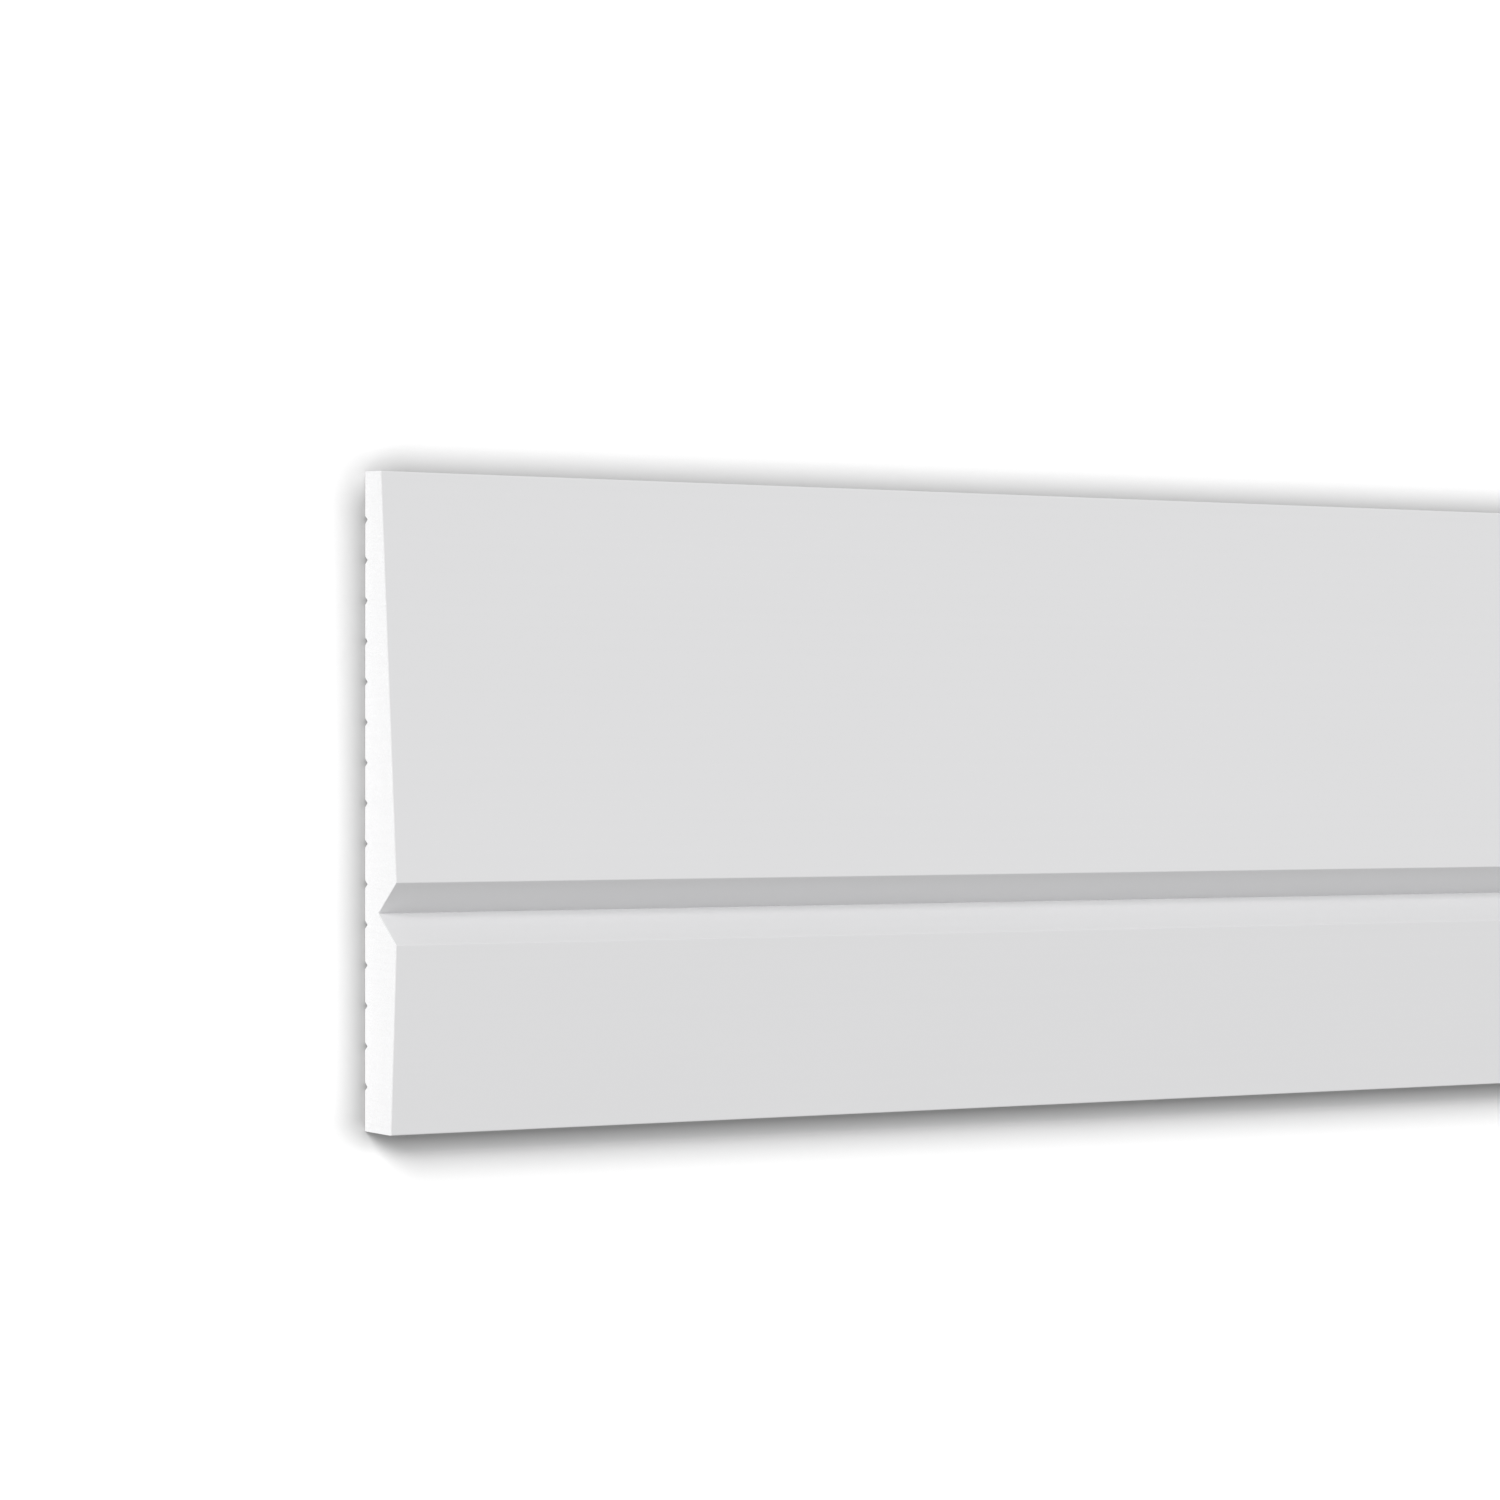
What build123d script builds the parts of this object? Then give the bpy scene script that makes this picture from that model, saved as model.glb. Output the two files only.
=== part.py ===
from build123d import *
import os

# Skirting board in white foamed polymer: one extruded length, lying on its back.
# X runs along the board, Y from the floor edge to the top edge, Z out of the wall.
# The origin is the middle of the back, so the board rests on z = 0.

# Stock length
length = 2000.0

# Section, named as the board stands on a wall
height = 163.0
floor_edge_thickness = 15.0
lip_thickness = 18.0  # thickest part, at both lips of the V-groove
top_edge_thickness = 9.0
top_edge_fall = 0.4  # the top edge leans down to the front by this much

# V-groove along the face
groove_height = 53.95  # floor edge to the bottom of the V
groove_drop = 7.45  # bottom of the V down to the lower lip
groove_rise = 7.75  # bottom of the V up to the upper lip
groove_depth = 10.4

# Keys, the small grooves along the back that the adhesive grips
key_floor_margin = 11.0  # floor edge to the first key
key_pitch = 10.0
key_width = 2.0
key_depth = 1.4

# Radii that the die leaves on the section
arris_radius = 0.3
groove_root_radius = 0.12
key_root_radius = 0.15

# Corners of the section, as (Y, Z)
floor_edge = -height / 2
top_edge = height / 2
groove_bottom = floor_edge + groove_height
floor_back = (floor_edge, 0)
floor_front = (floor_edge, floor_edge_thickness)
lower_lip = (groove_bottom - groove_drop, lip_thickness)
groove_root = (groove_bottom, lip_thickness - groove_depth)
upper_lip = (groove_bottom + groove_rise, lip_thickness)
top_front = (top_edge - top_edge_fall, top_edge_thickness)
top_back = (top_edge, 0)

# As many keys as leave at least one pitch plain below the top edge
key_count = int((height - key_floor_margin) / key_pitch)
key_places = [floor_edge + key_floor_margin + key_pitch * i for i in range(key_count)]


def rounded(section, corners, radius):
    nearest = [section.vertices().sort_by_distance(corner)[0] for corner in corners]
    return fillet(nearest, radius)


# The outline: a flat back with square corners, two tapering faces and the V between them
face_arrises = [floor_front, lower_lip, upper_lip, top_front]
outline = Polyline(floor_back, top_back, top_front, upper_lip, groove_root, lower_lip, floor_front, close=True)
section = rounded(make_face(outline), face_arrises, arris_radius)
section = rounded(section, [groove_root], groove_root_radius)

# A key's cutter is as deep below the back as above it, so its flanks cross the back at the key's width
key_cutter = Polygon((-key_width, -key_depth), (key_width, -key_depth), (0, key_depth))
key_cutter = rounded(key_cutter, [(0, key_depth)], key_root_radius)
section -= [Pos(place, 0) * key_cutter for place in key_places]

skirting_board = extrude(Plane.YZ * section, amount=length / 2, both=True)

os.makedirs("parts", exist_ok=True)
export_step(skirting_board, "parts/skirting_board.step")
print(f"skirting_board: {key_count} keys, {skirting_board.volume / 1000:.1f} cubic centimetres")
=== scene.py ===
import math

import bpy
from mathutils import Matrix, Vector


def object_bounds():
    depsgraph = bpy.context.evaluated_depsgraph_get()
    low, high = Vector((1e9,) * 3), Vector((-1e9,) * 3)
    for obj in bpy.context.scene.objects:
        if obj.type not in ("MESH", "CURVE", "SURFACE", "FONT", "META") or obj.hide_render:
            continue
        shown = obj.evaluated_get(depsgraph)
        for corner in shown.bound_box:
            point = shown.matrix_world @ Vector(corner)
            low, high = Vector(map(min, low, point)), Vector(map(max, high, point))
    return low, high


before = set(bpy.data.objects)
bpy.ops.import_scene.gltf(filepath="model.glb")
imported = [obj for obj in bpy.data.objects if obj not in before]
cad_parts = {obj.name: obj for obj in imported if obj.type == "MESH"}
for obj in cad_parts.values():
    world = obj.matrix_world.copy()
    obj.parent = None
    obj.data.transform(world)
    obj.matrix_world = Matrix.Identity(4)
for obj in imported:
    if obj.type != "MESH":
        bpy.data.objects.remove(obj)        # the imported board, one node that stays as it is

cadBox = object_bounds()
low, high = cadBox
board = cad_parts["skirting_board"]
print("loaded", board.name, [round(side, 4) for side in high - low])


class Tap:
    # a node's output, so that shader maths reads as sums
    def __init__(self, tree, socket=None):
        self.tree = tree
        self.socket = socket

    # any node: its settings first, then the values or links of its sockets
    def add(self, kind, settings=None, sockets=None, out=0):
        node = self.tree.nodes.new("ShaderNode" + kind)
        for name, value in (settings or {}).items():
            setattr(node, name, value)
        for name, value in (sockets or {}).items():
            if isinstance(value, Tap):
                self.tree.links.new(value.socket, node.inputs[name])
            else:
                node.inputs[name].default_value = value
        return Tap(self.tree, node.outputs[out] if node.outputs else None)

    def maths(self, operation, *values, clamp=False):
        settings = {"operation": operation, "use_clamp": clamp}
        return self.add("Math", settings, dict(enumerate(values)))

    def __add__(self, other):
        return self.maths("ADD", self, other)

    def __radd__(self, other):
        return self.maths("ADD", other, self)

    def __sub__(self, other):
        return self.maths("SUBTRACT", self, other)

    def __rsub__(self, other):
        return self.maths("SUBTRACT", other, self)

    def __mul__(self, other):
        return self.maths("MULTIPLY", self, other)

    def __rmul__(self, other):
        return self.maths("MULTIPLY", other, self)

    def __gt__(self, other):
        return self.maths("GREATER_THAN", self, other)

    def __lt__(self, other):
        return self.maths("LESS_THAN", self, other)

    def __abs__(self):
        return self.maths("ABSOLUTE", self)

    # two colours by a share
    def mixed(self, first, second):
        sockets = {"Factor": self, 6: first, 7: second}
        return self.add("Mix", {"data_type": "RGBA"}, sockets, out=2)


def newTree(material):
    material.use_nodes = True
    material.node_tree.nodes.clear()
    return Tap(material.node_tree)


# White primer on foamed polymer, with its ends sawn and its back left bare
primer = {
    "skinColour": (0.736, 0.736, 0.743, 1),
    "backColour": (0.70, 0.70, 0.70, 1),
    "skinRoughness": 0.64,
    "backRoughness": 0.72,
    "gloss": 0.25,              # low, the primer is matt
    "cloudScale": 12,           # per metre, faint tone drift in the coat
    "cloudDepth": 0.012,
    "cloudDulling": 0.10,       # what the same drift does to the roughness
    "drawScale": (1.5, 700, 700),  # per metre, draw lines left by the die
    "drawDepth": 0.010,
    "drawDulling": 0.12,
    "drawHeight": 0.000006,
    "peelScale": 650,           # per metre, the sprayed coat
    "peelHeight": 0.000008,
    "backSlope": -0.3,          # a face that looks down more than this is the back
}
sawnFoamWithPaintedLight = {
    # whiter than the coat: partly the bare cut foam, partly painted light standing in for the lamp on
    # the ends
    "colour": (0.885, 0.885, 0.89),
    "roughness": 0.80,
    "shade": 0.96,              # tone at the middles of the cut cells, where painted shade darkens them
    "cellScale": 2600,          # per metre, cells that the saw cut open
    "cellPaintedShade": 0.06,
    "cellHeight": 0.00006,
    "sawScale": (1, 1500, 60),  # per metre, marks of the saw
    "sawDepth": 0.04,
    "sawHeight": 0.00003,
    "depth": 0.0002,            # what counts as the sawn face
}


def primedPolymer():
    material = bpy.data.materials.new("primedPolymer")
    tree = newTree(material)
    place = tree.add("TexCoord", out=3)
    alongBoard = tree.add("SeparateXYZ", sockets={0: place})
    facing = tree.add("TexCoord", out=1)
    facingUp = tree.add("SeparateXYZ", sockets={0: facing}, out=2)

    def spots(scale):
        return tree.add("Mapping", sockets={"Vector": place, "Scale": scale})

    # noise about zero
    def noise(scale, detail):
        sockets = {"Vector": spots(scale), "Scale": 1.0, "Detail": detail}
        return tree.add("TexNoise", sockets=sockets) - 0.5

    def evenly(perMetre):
        return (perMetre, perMetre, perMetre)

    def scaled(colour, tone):
        return tree.add("VectorMath", {"operation": "SCALE"}, {0: colour, "Scale": tone})

    def relief(height):
        return tree.add("Bump", sockets={"Strength": 1.0, "Distance": 1.0, "Height": height})

    # coat: its tone and shine drift a little along the draw lines
    back = facingUp < primer["backSlope"]
    cloud = noise(evenly(primer["cloudScale"]), 2.0)
    draw = noise(primer["drawScale"], 1.0)
    peel = noise(evenly(primer["peelScale"]), 1.0)
    tone = 1 + cloud * primer["cloudDepth"] + draw * primer["drawDepth"]
    dulling = back * (primer["backRoughness"] - primer["skinRoughness"])
    dulling = cloud * primer["cloudDulling"] + draw * primer["drawDulling"] + dulling
    coat = tree.add("BsdfPrincipled", sockets={
        "Base Color": scaled(back.mixed(primer["skinColour"], primer["backColour"]), tone),
        "Roughness": primer["skinRoughness"] + dulling,
        "Specular IOR Level": primer["gloss"],
        "Normal": relief(draw * primer["drawHeight"] + peel * primer["peelHeight"]),
    })

    # sawn ends: open cells and the marks of the saw, in a colour that is partly painted light
    cellSpots = spots(evenly(sawnFoamWithPaintedLight["cellScale"]))
    cell = tree.add("TexVoronoi", sockets={"Vector": cellSpots, "Scale": 1.0})
    saw = noise(sawnFoamWithPaintedLight["sawScale"], 2.0)
    # the cut cells are darker at their middles, which is painted shade; the saw marks vary the tone
    shade = sawnFoamWithPaintedLight["shade"] + cell * sawnFoamWithPaintedLight["cellPaintedShade"] + saw * sawnFoamWithPaintedLight["sawDepth"]
    foamWithPaintedLight = tree.add("BsdfPrincipled", sockets={
        "Base Color": scaled(sawnFoamWithPaintedLight["colour"], shade),
        "Roughness": sawnFoamWithPaintedLight["roughness"],
        "Normal": relief(cell * sawnFoamWithPaintedLight["cellHeight"] + saw * sawnFoamWithPaintedLight["sawHeight"]),
    })

    sawn = abs(alongBoard) > high.x - sawnFoamWithPaintedLight["depth"]
    surface = tree.add("MixShader", sockets={0: sawn, 1: coat, 2: foamWithPaintedLight})
    tree.add("OutputMaterial", sockets={"Surface": surface})
    return material


board.data.materials.clear()
board.data.materials.append(primedPolymer())
print("board painted")


# Pale floor, white to the camera, which keeps the board's shadow from the lamps and a painted shadow
# round it
ground = {
    "size": 60,
    "drop": 0.0002,             # just under the back
    "colour": (0.85, 0.85, 0.85, 1),
    "seenColour": (1.14, 1.14, 1.14),  # a little over white, so that open floor stays white
    "endPaintedShadow": (-0.0118, 0.0153),   # where the painted shadow starts and fades out, measured from an end
    "topPaintedShadow": (-0.0104, 0.0109),   # the same, measured from the top edge
    "floorEdgePaintedShadow": (-0.0040, 0.0087),  # and from the floor edge
    "paintedShadowDepth": 1.10,
    "paintedShadowLeast": 0.40,          # the darkest the painted shadow gets
}


# 1 for rays from the camera and from shiny or clear surfaces, 0 for those that light the scene
def seen(tree):
    camera = tree.add("LightPath", out=0)
    glossy = tree.add("LightPath", out=3)
    through = tree.add("LightPath", out=6)
    return camera.maths("ADD", camera + glossy, through, clamp=True)


bpy.ops.object.select_all(action="DESELECT")
bpy.ops.mesh.primitive_plane_add(size=ground["size"], location=(0, 0, low.z - ground["drop"]))
floor = bpy.context.active_object
floor.name = "floor"
floorPaint = bpy.data.materials.new("paleFloor")
floorTree = newTree(floorPaint)
floorSpot = floorTree.add("TexCoord", out=3)
alongFloor = floorTree.add("SeparateXYZ", sockets={0: floorSpot})
acrossFloor = floorTree.add("SeparateXYZ", sockets={0: floorSpot}, out=1)


# how far the painted shadow covers: 1 under the board, 0 out on the floor
def paintedShadowCover(reach, edge, paintedShadow):
    return floorTree.add("MapRange", {"interpolation_type": "SMOOTHSTEP"}, {
        "Value": reach,
        "From Min": edge + paintedShadow[0],
        "From Max": edge + paintedShadow[1],
        "To Min": 1.0,
        "To Max": 0.0,
    })


underPaintedShadow = paintedShadowCover(abs(alongFloor), high.x, ground["endPaintedShadow"])
underPaintedShadow = underPaintedShadow * paintedShadowCover(acrossFloor, high.y, ground["topPaintedShadow"])
underPaintedShadow = underPaintedShadow * paintedShadowCover(0 - acrossFloor, -low.y, ground["floorEdgePaintedShadow"])
# painted shadow round the board, darkest next to it
paintedShadow = 1 - underPaintedShadow * ground["paintedShadowDepth"]
paintedShadow = paintedShadow.maths("MAXIMUM", paintedShadow, ground["paintedShadowLeast"])
# the floor's seen colour, darkened by the painted shadow
paintedShadowSockets = {0: ground["seenColour"], "Scale": paintedShadow}
seenColour = floorTree.add("VectorMath", {"operation": "SCALE"}, paintedShadowSockets)
seenFloor = floorTree.add("BsdfDiffuse", sockets={"Color": seenColour})
litFloor = floorTree.add("BsdfDiffuse", sockets={"Color": ground["colour"]})
floorSurface = floorTree.add("MixShader", sockets={0: seen(floorTree), 1: litFloor, 2: seenFloor})
floorTree.add("OutputMaterial", sockets={"Surface": floorSurface})
floor.data.materials.append(floorPaint)
print("floor laid")


# Soft studio light: a dome, a broad lamp above the near top corner and a weak fill off the floor edge
studio = {
    "dome": (0.39, 0.39, 0.39, 1),
    "backdrop": (1, 1, 1, 1),   # what the camera sees
    "lamps": {
        "keyLamp": {"from": (-0.60, 0.56, 0.83), "spread": 30, "strength": 2.19},
        "fillLamp": {"from": (-0.56, -0.66, 0.50), "spread": 40, "strength": 0.485},
    },
}

world = bpy.data.worlds.new("studio")
bpy.context.scene.world = world
world.use_nodes = True
world.node_tree.nodes.clear()
worldTree = Tap(world.node_tree)
skyColour = seen(worldTree).mixed(studio["dome"], studio["backdrop"])
sky = worldTree.add("Background", sockets={"Color": skyColour})
worldTree.add("OutputWorld", sockets={"Surface": sky})

for name, lamp in studio["lamps"].items():
    bpy.ops.object.light_add(type="SUN")
    light = bpy.context.active_object
    light.name = name
    light.data.energy = lamp["strength"]
    light.data.angle = math.radians(lamp["spread"])
    light.rotation_euler = Vector(lamp["from"]).to_track_quat("Z", "Y").to_euler()
print("lights set")


# The photograph's view: straight along the section's height, leaning along the board
photo = {
    "side": 1500,               # pixels
    "sensor": 36,               # millimetres
    "fieldOfView": 19.96,       # degrees
    "lean": 29.8,               # degrees off the face's normal
    "distance": 1.0529,         # lens to the near end's back edge, along the view
    "endEdge": 365.2,           # that edge, in pixels from the left
    "eyeLine": 767.2,           # the lens's own height on the board, in pixels from the top
    "eyeHeight": 0.0899,        # the same, above the floor edge
}

middle = photo["side"] / 2
focal = middle / math.tan(math.radians(photo["fieldOfView"]) / 2)
lean = math.radians(photo["lean"])
tilt = math.atan((photo["eyeLine"] - middle) / focal)
along = Vector((math.cos(lean), 0, math.sin(lean)))
inward = Vector((math.sin(lean), 0, -math.cos(lean)))
upright = Vector((0, 1, 0))
endEdge = Vector((low.x, low.y + photo["eyeHeight"], low.z))
aside = (photo["endEdge"] - middle) * photo["distance"] / focal
stand = endEdge - along * aside - inward * photo["distance"]
look = inward * math.cos(tilt) + upright * math.sin(tilt)
above = upright * math.cos(tilt) - inward * math.sin(tilt)

bpy.ops.object.camera_add()
camera = bpy.context.active_object
camera.data.sensor_width = photo["sensor"]
camera.data.lens = focal * photo["sensor"] / photo["side"]
turn = Matrix((along, above, -look)).transposed().to_4x4()
camera.matrix_world = Matrix.Translation(stand) @ turn
bpy.context.scene.camera = camera
bpy.context.scene.view_settings.view_transform = "Standard"
print("camera at", [round(value, 4) for value in stand])
